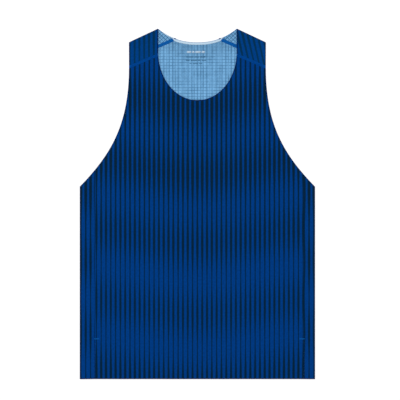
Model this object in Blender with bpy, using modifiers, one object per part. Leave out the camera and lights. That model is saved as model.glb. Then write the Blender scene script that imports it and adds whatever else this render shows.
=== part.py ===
# A running singlet, laid flat on its back. Metres, +Z up, +Y from the hem to the neck and +X to the
# wearer's left. The origin is on the surface it lies on, in the middle of its box.
#
# Each cloth piece is cut as a flat outline, crossed by a grid of cuts, laid in its place round the
# side or shoulder folds, and then given its wall. Heights up the garment are measured from the hem.
import math

import bmesh
import bpy
from mathutils import Vector

# The whole garment
HALF_CHEST = 0.235  # from the middle to a side fold
LENGTH = 0.700  # from the hem to the shoulders' neck points
CLOTH = 0.0012  # wall of the panels and yokes
TURN = 0.0021  # outer radius of the cloth where it turns over a fold
TOP = 2 * TURN  # height of the upper layer's outer face
SEAM_GAP = 0.0003  # between the cut edges that a seam joins, and between a tape and the cloth

# Side seams: the back comes forward round the side folds, further on the wearer's right
SEAM_LEFT = 0.213
SEAM_RIGHT = 0.205

# Armhole edge, the same on both layers: one curve from the side fold up to the front yoke seam
UNDERARM = 0.384
SHOULDER_OUT = 0.1366
ARMHOLE_LEAN = 44  # degrees from upright, where the edge leaves the side fold
ARMHOLE_PULL_LOW = 0.090
ARMHOLE_PULL_HIGH = 0.115
ARMHOLE_STEPS = 18

# Shoulder fold, from the neck point to the arm, and the yoke seams across the strap
NECK_POINT = 0.0786  # its distance from the middle
SHOULDER_DROP = 0.0272
FRONT_SEAM_IN, FRONT_SEAM_OUT = 0.6472, 0.6230  # heights at the neck edge and at the armhole
BACK_SEAM_NECK = 0.0438  # from the middle, where the back yoke seam meets the neckline
BACK_SEAM_OUT = 0.6393

# Necklines
SCOOP_TOP = 0.6534  # the front neckline is upright above this height and half an ellipse below
SCOOP_DEPTH = 0.0966
SCOOP_STEPS = 30
BACK_NECK_DROP = 0.0274
BACK_NECK_POWER = 2.3

# Tapes
TAPE = 0.0010  # thickness
FRONT_TAPE_WIDTH = 0.0064
BACK_TAPE_WIDTH = 0.0066
NECK_TAPE_WIDTH = 0.0050
NECK_TAPE_END_WIDTH = 0.0022
NECK_TAPE_HALF = 0.0600  # from the middle to its end, past the back yoke seams

# Spacing of the grid of cuts
FRONT_CUTS = 0.020
BACK_CUTS = 0.040
YOKE_CUTS = 0.012
TURN_CUTS = 8  # across each half circle of a fold

# Soft swells of the upper layer, where the cloth lies a little slack
# middle x, height, half length, half width, degrees the length leans from +X, rise
SWELLS = (
    (-0.100, 0.470, 0.150, 0.060, 68, 0.0009),
    (0.085, 0.410, 0.160, 0.055, 112, 0.0011),
    (-0.060, 0.250, 0.140, 0.070, 20, 0.0012),
    (0.110, 0.190, 0.120, 0.060, 150, 0.0010),
    (-0.120, 0.100, 0.110, 0.050, 8, 0.0009),
    (0.040, 0.070, 0.130, 0.045, 172, 0.0010),
    (0.105, 0.560, 0.080, 0.035, 95, 0.0006),
)
SWELL_FADE = 0.045  # they die out this far from the side folds and the shoulders

# Base colours as linear red, green and blue, and roughness
COLOURS = {
    "outer": ((0.003, 0.030, 0.140), 0.75),
    "front_tape": ((0.002, 0.055, 0.280), 0.65),
    "back_tape": ((0.006, 0.100, 0.380), 0.60),
    "neck_tape": ((0.450, 0.620, 0.740), 0.70),
}


def bezier(start, start_pull, end_pull, end, steps):
    """Points along a cubic curve, both ends included."""
    points = []
    for step in range(steps + 1):
        t = step / steps
        weights = ((1 - t) ** 3, 3 * t * (1 - t) ** 2, 3 * t * t * (1 - t), t ** 3)
        parts = zip(weights, (start, start_pull, end_pull, end))
        points.append(sum((Vector(point) * weight for weight, point in parts), Vector((0, 0))))
    return points


def armhole(steps):
    """The armhole edge, from the side fold up to the front yoke seam."""
    lean = math.radians(ARMHOLE_LEAN)
    side = Vector((HALF_CHEST, UNDERARM))
    top = Vector((SHOULDER_OUT, FRONT_SEAM_OUT))
    low_pull = side + ARMHOLE_PULL_LOW * Vector((-math.sin(lean), math.cos(lean)))
    return bezier(side, low_pull, top - Vector((0, ARMHOLE_PULL_HIGH)), top, steps)


def armhole_height(x):
    """Height of the armhole edge at a distance x from the middle."""
    edge = armhole(200)
    for low, high in zip(edge, edge[1:]):
        if high.x <= x:
            return low.y + (high.y - low.y) * (low.x - x) / (low.x - high.x)
    return FRONT_SEAM_OUT


def armhole_from(x):
    """The armhole edge from a distance x from the middle up to the front yoke seam."""
    return [Vector((x, armhole_height(x)))] + [p for p in armhole(ARMHOLE_STEPS) if p.x < x - 0.002]


def turn_depths():
    """Depths in from a fold's edge of the cuts round half of its turn."""
    quarter = TURN_CUTS // 2
    return [TURN * (1 - math.cos(math.pi / 2 * step / quarter)) for step in range(quarter + 1)]


def along_cloth(depth, layer):
    """Distance along the cloth from the middle of a fold's turn, for a point that deep in from the
    fold's edge: on the upper layer (1) or the lower one (-1)."""
    if depth < TURN:
        return layer * TURN * math.acos(1 - depth / TURN)
    return layer * (TURN * math.pi / 2 + depth - TURN)


def round_fold(along):
    """The depth in from a fold's edge and the height that a distance along the cloth comes to."""
    quarter = TURN * math.pi / 2
    if abs(along) < quarter:
        return TURN * (1 - math.cos(along / TURN)), TURN * (1 + math.sin(along / TURN))
    return TURN + abs(along) - quarter, TOP if along > 0 else 0


def ease(value):
    """0 below 0 and 1 above 1, with a smooth rise between."""
    value = min(max(value, 0), 1)
    return value * value * (3 - 2 * value)


def swell(x, y):
    """How far the slack of the upper layer lifts it at a point."""
    rise = 0
    for middle_x, middle_y, half_length, half_width, lean, height in SWELLS:
        lean = math.radians(lean)
        right, up = x - middle_x, y - middle_y
        along = (right * math.cos(lean) + up * math.sin(lean)) / half_length
        across = (up * math.cos(lean) - right * math.sin(lean)) / half_width
        rise += height * max(0, 1 - along * along - across * across) ** 2
    shoulder = LENGTH - SHOULDER_DROP - y
    return rise * ease((HALF_CHEST - abs(x)) / SWELL_FADE) * ease(shoulder / SWELL_FADE)


def front_seam(x):
    """Height of the front yoke seam at a distance x from the middle."""
    part = (x - NECK_POINT) / (SHOULDER_OUT - NECK_POINT)
    return FRONT_SEAM_IN + part * (FRONT_SEAM_OUT - FRONT_SEAM_IN)


def back_neck(x):
    """Height of the back neckline at a distance x from the middle."""
    return LENGTH - BACK_NECK_DROP * (1 - (abs(x) / NECK_POINT) ** BACK_NECK_POWER)


def back_seam(x):
    """Height of the back yoke seam at a distance x from the middle."""
    start = back_neck(BACK_SEAM_NECK)
    part = (x - BACK_SEAM_NECK) / (SHOULDER_OUT - BACK_SEAM_NECK)
    return start + part * (BACK_SEAM_OUT - start)


def mirrored(points):
    """The same edge on the wearer's right, run the other way."""
    return [Vector((-point[0], point[1])) for point in reversed(points)]


def front_outline():
    """The front's cut edge, anticlockwise from the wearer's right end of the hem."""
    def side(seam):
        edge = [Vector((seam, 0))] + armhole_from(seam)[:-1]
        strap_end = [(x, front_seam(x) - SEAM_GAP / 2) for x in (SHOULDER_OUT, NECK_POINT)]
        return edge + [Vector(point) for point in strap_end]

    scoop = []
    for step in range(1, SCOOP_STEPS):
        angle = math.pi * step / SCOOP_STEPS
        low = SCOOP_TOP - SCOOP_DEPTH * math.sin(angle)
        scoop.append(Vector((NECK_POINT * math.cos(angle), low)))
    scoop = [point for point in scoop if point.y < FRONT_SEAM_IN - 0.003]
    left, right = side(SEAM_LEFT - SEAM_GAP / 2), side(SEAM_RIGHT - SEAM_GAP / 2)
    return left + scoop + mirrored(right)


BACK_TURN = HALF_CHEST + along_cloth(TURN, 1) - TURN  # across the back's cut, to the turns' middle


def back_outline():
    """The back's cut edge, opened out flat, anticlockwise from the wearer's right end of the hem."""
    def side(seam):
        front_edge = BACK_TURN + along_cloth(HALF_CHEST - seam, 1)
        inner = [point for point in armhole(ARMHOLE_STEPS) if point.x < HALF_CHEST - 2 * TURN]
        turn = [Vector((HALF_CHEST - d, armhole_height(HALF_CHEST - d))) for d in turn_depths()]
        forward = [point for point in inner if point.x > seam + 0.002]
        forward = [Vector((seam, armhole_height(seam)))] + forward[::-1] + turn[:0:-1]
        opened = [Vector((BACK_TURN + along_cloth(HALF_CHEST - x, 1), y)) for x, y in forward]
        opened += [Vector((BACK_TURN + along_cloth(HALF_CHEST - x, -1), y)) for x, y in turn]
        return [Vector((front_edge, 0))] + opened + inner

    steps = 12
    yoke_edge = [Vector((x, back_seam(x) - SEAM_GAP / 2)) for x in (SHOULDER_OUT, BACK_SEAM_NECK)]
    neck_xs = [BACK_SEAM_NECK * (1 - 2 * step / steps) for step in range(1, steps)]
    neck = [Vector((x, back_neck(x))) for x in neck_xs]
    left, right = side(SEAM_LEFT + SEAM_GAP / 2), side(SEAM_RIGHT + SEAM_GAP / 2)
    return left + yoke_edge + neck + mirrored(yoke_edge) + mirrored(right)


SHOULDER_ALONG = Vector((SHOULDER_OUT - NECK_POINT, -SHOULDER_DROP)).normalized()
SHOULDER_DOWN = Vector((SHOULDER_ALONG.y, -SHOULDER_ALONG.x))  # square to the fold, to the hem


def yoke_cut(x, y, layer):
    """A yoke's point in its opened cut: along the shoulder fold and round it."""
    from_neck = Vector((x - NECK_POINT, y - LENGTH))
    depth = max(from_neck.dot(SHOULDER_DOWN), 0)
    return Vector((from_neck.dot(SHOULDER_ALONG), along_cloth(depth, layer)))


def yoke_outline():
    """A left yoke's cut edge, opened out flat: from the back seam's neck end round by the arm."""
    arm_point = LENGTH - SHOULDER_DROP
    slope = SHOULDER_DROP / (SHOULDER_OUT - NECK_POINT)
    # Plan depths below the fold, along its upright edges, of the turn's cuts
    turn = [depth / SHOULDER_ALONG.x for depth in turn_depths()]
    back_arm = [(SHOULDER_OUT, BACK_SEAM_OUT + SEAM_GAP / 2)]
    back_arm += [(SHOULDER_OUT, arm_point - drop) for drop in reversed(turn)]
    front_arm = [(SHOULDER_OUT, arm_point - drop) for drop in turn[1:]]
    front_arm += [(SHOULDER_OUT, FRONT_SEAM_OUT + SEAM_GAP / 2)]
    front_neck = [(NECK_POINT, FRONT_SEAM_IN + SEAM_GAP / 2)]
    front_neck += [(NECK_POINT, LENGTH - drop) for drop in reversed(turn)]
    # The back neckline meets the fold at a slant, so its own x gives each cut of the turn its depth
    steps = 6
    neck_slope = BACK_NECK_DROP * BACK_NECK_POWER / NECK_POINT
    inward = [depth / (SHOULDER_ALONG.x * (neck_slope + slope)) for depth in turn_depths()[1:]]
    back_neck_xs = [NECK_POINT - step for step in inward]
    reach = back_neck_xs[-1] - BACK_SEAM_NECK
    back_neck_xs += [back_neck_xs[-1] - reach * step / steps for step in range(1, steps)]
    back_edge = [(x, back_neck(x)) for x in back_neck_xs]
    back_edge += [(BACK_SEAM_NECK, back_neck(BACK_SEAM_NECK) + SEAM_GAP / 2)]
    under = [yoke_cut(x, y, -1) for x, y in back_arm]
    over = [yoke_cut(x, y, 1) for x, y in front_arm + front_neck]
    return under + over + [yoke_cut(x, y, -1) for x, y in back_edge]


def crossed(outline, cuts_across, cuts_up):
    """A flat sheet with this outline, crossed by upright and level cuts."""
    sheet = bmesh.new()
    sheet.faces.new([sheet.verts.new((x, y, 0)) for x, y in outline])
    for cuts, square_to in ((cuts_across, (1, 0, 0)), (cuts_up, (0, 1, 0))):
        for cut in cuts:
            bmesh.ops.bisect_plane(
                sheet, geom=sheet.verts[:] + sheet.edges[:] + sheet.faces[:], dist=0.0004,
                plane_co=Vector(square_to) * cut, plane_no=square_to)
    many_sided = [face for face in sheet.faces if len(face.verts) > 4]
    bmesh.ops.triangulate(sheet, faces=many_sided)
    return sheet


def every(spacing, low, high):
    """Evenly spaced cuts between two values, through zero."""
    first, last = math.ceil(low / spacing), math.floor(high / spacing)
    return [spacing * step for step in range(first, last + 1)]


def turn_cuts(middle):
    """Cuts round a fold's turn, whose middle is at this place on the opened cloth."""
    return [middle + TURN * math.pi * (step / TURN_CUTS - 0.5) for step in range(TURN_CUTS + 1)]


def finish(name, sheet, place, wall, colour):
    """Lays a flat sheet in its place, outer face up, gives it its wall below and names it."""
    for vert in sheet.verts:
        x, y, z = place(vert.co.x, vert.co.y)
        vert.co = (x, y - LENGTH / 2, z)
    sheet.normal_update()
    topmost = max(sheet.faces, key=lambda face: face.calc_center_median().z)
    if topmost.normal.z < 0:
        bmesh.ops.reverse_faces(sheet, faces=sheet.faces)
    mesh = bpy.data.meshes.new(name)
    sheet.to_mesh(mesh)
    sheet.free()
    mesh.shade_smooth()
    mesh.set_sharp_from_angle(angle=math.radians(40))
    piece = bpy.data.objects.new(name, mesh)
    solidify = piece.modifiers.new("Wall", "SOLIDIFY")
    solidify.thickness = wall
    solidify.offset = -1
    solidify.use_even_offset = True
    rgb, roughness = COLOURS[colour]
    material = bpy.data.materials.new(name)
    material.use_nodes = True
    shader = material.node_tree.nodes["Principled BSDF"]
    shader.inputs["Base Color"].default_value = (*rgb, 1)
    shader.inputs["Roughness"].default_value = roughness
    shader.inputs["Metallic"].default_value = 0
    mesh.materials.append(material)
    singlet.objects.link(piece)


def on_upper_layer(x, y):
    return x, y, TOP + swell(x, y)


def make_front():
    cuts_across = every(FRONT_CUTS, -SEAM_RIGHT, SEAM_LEFT)
    sheet = crossed(front_outline(), cuts_across, every(FRONT_CUTS, 0.001, FRONT_SEAM_IN))
    finish("front_panel", sheet, on_upper_layer, CLOTH, "outer")


def make_back():
    def place(across, y):
        depth, z = round_fold(abs(across) - BACK_TURN)
        x = math.copysign(HALF_CHEST - depth, across)
        return x, y, z + (swell(x, y) if z == TOP else 0)

    cuts_across = every(BACK_CUTS, -HALF_CHEST + BACK_CUTS / 2, HALF_CHEST - BACK_CUTS / 2)
    cuts_across += turn_cuts(BACK_TURN) + turn_cuts(-BACK_TURN)
    sheet = crossed(back_outline(), cuts_across, every(BACK_CUTS, 0.001, LENGTH))
    finish("back_panel", sheet, place, CLOTH, "outer")


def make_yoke(name, side):
    def place(along, around):
        depth, z = round_fold(around)
        plan = Vector((NECK_POINT, LENGTH)) + SHOULDER_ALONG * along + SHOULDER_DOWN * depth
        return side * plan.x, plan.y, z + (swell(side * plan.x, plan.y) if z == TOP else 0)

    edge = TURN * math.pi / 2
    legs = [edge + YOKE_CUTS * step for step in range(1, 5)]
    cuts_up = turn_cuts(0) + legs + [-cut for cut in legs]
    sheet = crossed(yoke_outline(), every(YOKE_CUTS, -0.02, 0.09), cuts_up)
    finish(name, sheet, place, CLOTH, "outer")


def strip(middle_line, width, start_x, end_x):
    """Outline of a tape that follows a line across the strap, between two upright ends."""
    rise = (middle_line(end_x) - middle_line(start_x)) / (end_x - start_x)
    half = width / 2 * math.hypot(1, rise)
    low = [Vector((x, middle_line(x) - half)) for x in (start_x, end_x)]
    high = [Vector((x, middle_line(x) + half)) for x in (end_x, start_x)]
    return low + high


def make_front_tape(name, side):
    """The tape over a front yoke seam, outside, from the neckline to the armhole."""
    def place(x, y):
        return side * x, y, TOP + swell(side * x, y) + SEAM_GAP + TAPE

    outline = strip(front_seam, FRONT_TAPE_WIDTH, NECK_POINT + SEAM_GAP, SHOULDER_OUT - SEAM_GAP)
    sheet = crossed(outline, every(YOKE_CUTS, NECK_POINT + 0.003, SHOULDER_OUT - 0.003), [])
    finish(name, sheet, place, TAPE, "front_tape")


def on_inside_of_back(x, y):
    return x, y, CLOTH + SEAM_GAP + TAPE


def neck_tape_width(x):
    """The tape is even between the back yoke seams and narrows from there to its ends."""
    part = (abs(x) - BACK_SEAM_NECK) / (NECK_TAPE_HALF - BACK_SEAM_NECK)
    return NECK_TAPE_WIDTH + max(part, 0) * (NECK_TAPE_END_WIDTH - NECK_TAPE_WIDTH)


def neck_tape_low(x):
    """The point of the neck tape's lower edge that lies square below the neckline's point at x."""
    step = 0.0005
    neckline = Vector((2 * step, back_neck(x + step) - back_neck(x - step))).normalized()
    return Vector((x, back_neck(x))) + neck_tape_width(x) * Vector((neckline.y, -neckline.x))


def make_back_tape(name, side):
    """The tape over a back yoke seam, inside, from the neck tape to the armhole."""
    def place(x, y):
        x, y, z = on_inside_of_back(x, y)
        return side * x, y, z

    low_start, low_end, high_end, high_start = strip(
        back_seam, BACK_TAPE_WIDTH, BACK_SEAM_NECK, SHOULDER_OUT - SEAM_GAP)
    # Each long edge begins where it comes clear of the neck tape's lower edge
    slope = (low_end - low_start) / (low_end.x - low_start.x)
    neck_tape_edge = [neck_tape_low(0.001 * step) - Vector((0, SEAM_GAP)) for step in range(30, 74)]
    starts = []
    for start in (low_start, high_start):
        clear = [p for p in neck_tape_edge if p.y > start.y + slope.y * (p.x - start.x)]
        starts.append(start + slope * (clear[0].x - start.x))
    outline = [starts[0], low_end, high_end, starts[1]]
    sheet = crossed(outline, every(YOKE_CUTS, starts[1].x + 0.003, SHOULDER_OUT - 0.003), [])
    finish(name, sheet, place, TAPE, "back_tape")


def make_neck_tape():
    """The tape along the inside of the back neckline."""
    steps = 32
    xs = [NECK_TAPE_HALF * (2 * step / steps - 1) for step in range(steps + 1)]
    low = [neck_tape_low(x) for x in xs]
    high = [Vector((x, back_neck(x) - SEAM_GAP / 2)) for x in reversed(xs)]
    sheet = crossed(low + high, xs[2:-2:2], [])
    finish("back_neck_tape", sheet, on_inside_of_back, TAPE, "neck_tape")


for old in list(bpy.data.objects):
    bpy.data.objects.remove(old, do_unlink=True)

singlet = bpy.data.collections.new("running_singlet")
bpy.context.scene.collection.children.link(singlet)

make_front()
make_back()
for hand, direction in (("left", 1), ("right", -1)):
    make_yoke(f"yoke_{hand}", direction)
    make_front_tape(f"front_seam_tape_{hand}", direction)
    make_back_tape(f"back_seam_tape_{hand}", direction)
make_neck_tape()
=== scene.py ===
import math

import bmesh
import bpy
from mathutils import Matrix, Vector, noise
from mathutils.geometry import interpolate_bezier
from mathutils.kdtree import KDTree


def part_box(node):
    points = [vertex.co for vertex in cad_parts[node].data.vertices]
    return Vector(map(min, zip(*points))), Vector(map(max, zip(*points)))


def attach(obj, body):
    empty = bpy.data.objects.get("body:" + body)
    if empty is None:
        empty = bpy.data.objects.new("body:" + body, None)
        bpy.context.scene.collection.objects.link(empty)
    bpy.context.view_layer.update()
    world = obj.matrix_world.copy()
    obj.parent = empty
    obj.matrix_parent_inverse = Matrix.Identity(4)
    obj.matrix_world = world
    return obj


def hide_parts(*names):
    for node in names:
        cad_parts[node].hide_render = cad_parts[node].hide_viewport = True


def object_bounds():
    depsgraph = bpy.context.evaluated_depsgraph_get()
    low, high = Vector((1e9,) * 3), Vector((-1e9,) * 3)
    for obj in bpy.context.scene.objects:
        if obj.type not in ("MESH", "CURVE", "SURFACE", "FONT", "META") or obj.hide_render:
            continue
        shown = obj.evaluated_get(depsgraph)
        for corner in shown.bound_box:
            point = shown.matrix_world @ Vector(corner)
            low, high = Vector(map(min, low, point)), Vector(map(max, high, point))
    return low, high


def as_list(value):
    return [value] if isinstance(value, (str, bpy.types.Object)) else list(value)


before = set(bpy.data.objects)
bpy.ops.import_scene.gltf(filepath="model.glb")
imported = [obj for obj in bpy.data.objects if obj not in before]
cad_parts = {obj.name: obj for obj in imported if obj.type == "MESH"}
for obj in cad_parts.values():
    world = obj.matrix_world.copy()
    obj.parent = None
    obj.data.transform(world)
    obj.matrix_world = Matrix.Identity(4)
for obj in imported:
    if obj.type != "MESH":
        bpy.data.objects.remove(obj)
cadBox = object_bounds()
print("singlet: frame loaded,", len(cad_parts), "CAD nodes")

# The singlet lies flat on its back. x runs across to the wearer's left, and heights run up from the
# hem, so a point's y is its height less half the length. Sizes are in metres.
frontLow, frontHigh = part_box("front_panel")
singlet = {
    "halfChest": cadBox[1].x,
    "length": cadBox[1].y - cadBox[0].y,
    "leftSeam": frontHigh.x,  # the side seams lie forward of the side folds
    "rightSeam": -frontLow.x,
    "cloth": 0.0009,  # thickness
    "turn": 0.0021,  # outer radius of a fold
    "underarm": 0.384,  # height where an armhole leaves the side fold
    "armholeLean": 44,  # its slope there, in degrees from upright
    "armholeLowPull": 0.090,
    "armholeHighPull": 0.115,
    "armholeSteps": 100,
    "shoulderOut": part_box("yoke_left")[1].x,
    "neckPoint": 0.0786,  # where a shoulder fold meets the necklines
    "shoulderDrop": 0.0272,
    "frontSeam": (0.6472, 0.6230),  # heights of a front yoke seam at the neckline and at the arm
    "backSeamNeck": 0.0438,  # from the middle, where a back yoke seam meets the neckline
    "backSeamOut": 0.6393,  # its height at the arm
    "scoopTop": 0.6534,
    "scoopDepth": 0.0966,
    "scoopSteps": 90,
    "backNeckDrop": 0.0274,
    "backNeckPower": 2.3,  # the higher, the flatter the neckline's middle
    "yokeGrain": (19.9, 1.15),  # degrees that the yokes' knit is turned, and how much finer it is
    "backPrintShift": 0.064,  # the back's print doesn't meet the front's at the side seams
    "vent": 0.080,  # the side seams stop here, above a slit
    "ventClose": 0.004,  # the slit closes over this height
    "slit": 0.00015,  # half of the slit's width
    "spare": 0.001,  # points and cuts keep this far from the end of an edge
}
halfChest, length, turn = (singlet[key] for key in ("halfChest", "length", "turn"))
shoulderOut, neckPoint = singlet["shoulderOut"], singlet["neckPoint"]
spare = singlet["spare"]
top = 2 * turn  # where the upper layer's face lies with no slack


def ease(value):  # 0 below 0, 1 above 1, and smooth between
    value = min(max(value, 0), 1)
    return value * value * (3 - 2 * value)


def alongLine(points, spacing):  # points along a line of points, at most this far apart
    closer = []
    for start, end in zip(points, points[1:]):
        steps = max(1, math.ceil((end - start).length / spacing))
        closer += [start.lerp(end, step / steps) for step in range(steps)]
    return closer + [points[-1]]


def frontSeam(x):
    inner, outer = singlet["frontSeam"]
    return inner + (outer - inner) * (x - neckPoint) / (shoulderOut - neckPoint)


def backNeck(x):
    part = (abs(x) / neckPoint) ** singlet["backNeckPower"]
    return length - singlet["backNeckDrop"] * (1 - part)


def backNeckWay(x, step):  # which way the back neckline runs
    return Vector((2 * step, backNeck(x + step) - backNeck(x - step)))


def backSeam(x):
    start, end = singlet["backSeamNeck"], singlet["backSeamOut"]
    return backNeck(start) + (end - backNeck(start)) * (x - start) / (shoulderOut - start)


def armholeCurve():
    lean = math.radians(singlet["armholeLean"])
    side = Vector((halfChest, singlet["underarm"]))
    strap = Vector((shoulderOut, singlet["frontSeam"][1]))
    lowPull = side + singlet["armholeLowPull"] * Vector((-math.sin(lean), math.cos(lean)))
    highPull = strap - Vector((0, singlet["armholeHighPull"]))
    return interpolate_bezier(side, lowPull, highPull, strap, singlet["armholeSteps"])


def scoopCurve():  # the front neckline between the front yoke seams, from the wearer's left
    steps, level = singlet["scoopSteps"], singlet["scoopTop"]
    curve = [
        Vector((neckPoint * math.cos(angle), level - singlet["scoopDepth"] * math.sin(angle)))
        for angle in (math.pi * step / steps for step in range(steps + 1))]
    return [point for point in curve if point.y < singlet["frontSeam"][0] - spare]


armhole = armholeCurve()
scoop = scoopCurve()


def armholeHeight(x):
    for low, high in zip(armhole, armhole[1:]):
        if high.x <= x:
            return low.y + (high.y - low.y) * (low.x - x) / (low.x - high.x)
    return armhole[-1].y


# How the upper layer lies: a little slack, its cut edges settled on the layer below
slack = {
    "swells": (  # middle x, height, half length, half width, degrees from +X, rise
        (-0.100, 0.470, 0.150, 0.060, 68, 0.0009),
        (0.085, 0.410, 0.160, 0.055, 112, 0.0011),
        (-0.060, 0.250, 0.140, 0.070, 20, 0.0012),
        (0.110, 0.190, 0.120, 0.060, 150, 0.0010),
        (-0.120, 0.100, 0.110, 0.050, 8, 0.0009),
        (0.040, 0.070, 0.130, 0.045, 172, 0.0010),
        (0.105, 0.560, 0.080, 0.035, 95, 0.0006),
        (0.158, 0.335, 0.085, 0.014, 150, 0.0013),  # narrow creases, first those from the underarms
        (0.128, 0.322, 0.060, 0.010, 163, 0.0008),
        (-0.164, 0.322, 0.070, 0.013, 27, 0.0012),
        (-0.120, 0.300, 0.052, 0.009, 14, 0.0007),
        (0.030, 0.338, 0.095, 0.018, 6, 0.0009),
        (-0.046, 0.402, 0.070, 0.013, 12, 0.0007),
        (-0.150, 0.205, 0.085, 0.015, 166, 0.0010),
        (0.150, 0.236, 0.060, 0.012, 24, 0.0009),
        (0.072, 0.108, 0.070, 0.013, 20, 0.0009),
        (-0.062, 0.134, 0.055, 0.011, 176, 0.0007),
        (-0.104, 0.575, 0.046, 0.010, 80, 0.0006),  # below the shoulder seams
        (0.112, 0.568, 0.052, 0.011, 97, 0.0007),
        (0.094, 0.520, 0.044, 0.009, 120, 0.0005),
        (-0.146, 0.034, 0.052, 0.021, 84, 0.0010),  # waves that reach the hem
        (-0.048, 0.028, 0.044, 0.026, 97, 0.0009),
        (0.052, 0.032, 0.050, 0.019, 88, 0.0010),
        (0.140, 0.024, 0.040, 0.023, 104, 0.0008),
    ),
    "fade": 0.036,  # the slack dies out this far from the side folds and the shoulders
    "ripple": 0.00025,
    "rippleSpan": 0.060,
    "rippleLevel": 0.3,  # where in the noise it is cut
    "settle": 0.0012,
    "settleReach": 0.034,
    "edgeSpacing": 0.001,
}


def nearestTo(points):  # a function for how far x, y is from the nearest of these
    tree = KDTree(len(points))
    for index, point in enumerate(points):
        tree.insert((point[0], point[1], 0), index)
    tree.balance()
    return lambda x, y: tree.find((x, y, 0))[2] if points else 1.0  # far off


def settlingEdges():
    hem = [Vector((-halfChest, 0)), Vector((halfChest, 0))]
    arm = armhole + [Vector((shoulderOut, length))]
    neck = [Vector((neckPoint, length))] + scoop + [Vector((-neckPoint, length))]
    mirroredArm = [Vector((-point.x, point.y)) for point in arm]
    return [point for line in (hem, arm, neck, mirroredArm)
            for point in alongLine(line, slack["edgeSpacing"])]


fromUpperEdge = nearestTo(settlingEdges())


def upperFace(x, height):  # how high the upper layer's outer face lies
    rise = 0
    for middleX, middleHeight, halfLength, halfWidth, degrees, swell in slack["swells"]:
        lean = math.radians(degrees)
        right, up = x - middleX, height - middleHeight
        along = (right * math.cos(lean) + up * math.sin(lean)) / halfLength
        across = (up * math.cos(lean) - right * math.sin(lean)) / halfWidth
        rise += swell * max(0, 1 - along * along - across * across) ** 2
    spot = Vector((x, height, slack["rippleLevel"])) / slack["rippleSpan"]
    rise += slack["ripple"] * noise.noise(spot)
    rise -= slack["settle"] * (1 - ease(fromUpperEdge(x, height) / slack["settleReach"]))
    shoulder = length - singlet["shoulderDrop"] - height
    return top + rise * ease((halfChest - abs(x)) / slack["fade"]) * ease(shoulder / slack["fade"])


def alongCloth(depth, layer):  # along the cloth from a fold, on the upper layer (1) or lower (-1)
    if depth < turn:
        return layer * turn * math.acos(1 - depth / turn)
    return layer * (turn * math.pi / 2 + depth - turn)


def roundFold(along):  # depth in from a fold, height, and which way is out, as depth and height
    angle = min(max(along / turn, -math.pi / 2), math.pi / 2)
    straight = max(abs(along) - turn * math.pi / 2, 0)
    out = (-math.cos(angle), math.sin(angle))
    return turn * (1 - math.cos(angle)) + straight, turn * (1 + math.sin(angle)), out


# Materials, their colours matched under the light table's bright, even light
def linear(hexColour):  # sRGB hex to linear
    shares = [int(hexColour[at:at + 2], 16) / 255 for at in (1, 3, 5)]
    return [s / 12.92 if s < 0.04045 else ((s + 0.055) / 1.055) ** 2.4 for s in shares] + [1]


def newMaterial(name, settings):
    material = bpy.data.materials.new(name)
    material.use_nodes = True
    shader = material.node_tree.nodes["Principled BSDF"]
    for socket, value in settings.items():
        shader.inputs[socket].default_value = value
    return material.node_tree


def addNode(tree, kind, inputs=None, **settings):  # adds a node and gives back its first output
    node = tree.nodes.new("ShaderNode" + kind)
    for setting, value in settings.items():
        setattr(node, setting, value)
    for socket, value in (inputs or {}).items():
        if isinstance(value, bpy.types.NodeSocket):
            tree.links.new(value, node.inputs[socket])
        else:
            node.inputs[socket].default_value = value
    return next(output for output in node.outputs if output.enabled)


def finishMaterial(name, colour, height, strength, depth):  # gives it its colour and fine relief
    material = bpy.data.materials[name]
    tree = material.node_tree
    shader = tree.nodes["Principled BSDF"]
    bump = addNode(tree, "Bump", {"Strength": strength, "Distance": depth, "Height": height})
    tree.links.new(colour, shader.inputs["Base Color"])
    tree.links.new(bump, shader.inputs["Normal"])
    return material


# The print: upright pinstripes that swell and thin together, in level bands with a shallow scallop
stripes = {
    "pitch": 0.0096,
    "halfWidth": 0.00203,
    "swells": (  # more and less by, from one to the next, and the mean height of a thin place
        (0.00068, 0.140, 0.073),
        (0.00048, 0.76, 0.14),
    ),
    "scallopDrop": 0.016,
    "scallopSpan": 0.470,
    "bleed": 0.00090,  # how far the ink's edges blur
    "core": 0.0016,  # the ink gets denser from this deep in a stripe
}

# The knit, coarser in its grids than a real one, so that they show
knit = {
    # the edge colour is painted shade: a dark navy line along cut edges and folds, where the cloth turns
    # away from the light
    "edge": "#011d58",
    "edgeShadeFade": (0.001425, 0.0019),  # how far in the painted edge shade is full, and gone
    "wale": 0.0009, "course": 0.0008,  # a column and a row of loops
    "grid": 0.0031, "gridLine": 0.0005,  # pitch and half width
    "gridDim": 0.09, "gridRise": 0.8,
    "lineCore": 0.3,  # share of a grid line that is full, inside its soft edges
}
insideKnit = {
    # the edge colour is painted shade: a darker blue line along the inside's cut edges and folds
    "pale": "#87c5f6", "line": "#366790", "through": "#3f77a4", "edge": "#4082c5",
    "edgeShadeFade": (0.0006, 0.0009),
    "throughShare": 0.30,
    "wideGrid": 0.0062, "wideLine": 0.0010,
    "fineGrid": 0.0031, "fineLine": 0.0007,
    "lineRise": 1.4,
    "nearEdgeShadeFade": (0.004, 0.040),  # how far in from the edges the painted shade, standing in for the neck tape's shadow, is full, and gone
}
oneWave = 0.31416  # a wave texture of this scale has its waves 1 m apart


def addMap(tree, layer):  # a UV layer and its two directions
    layerMap = addNode(tree, "UVMap", uv_map=layer)
    across = addNode(tree, "SeparateXYZ", {0: layerMap})
    return layerMap, across, across.node.outputs["Y"]


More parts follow.
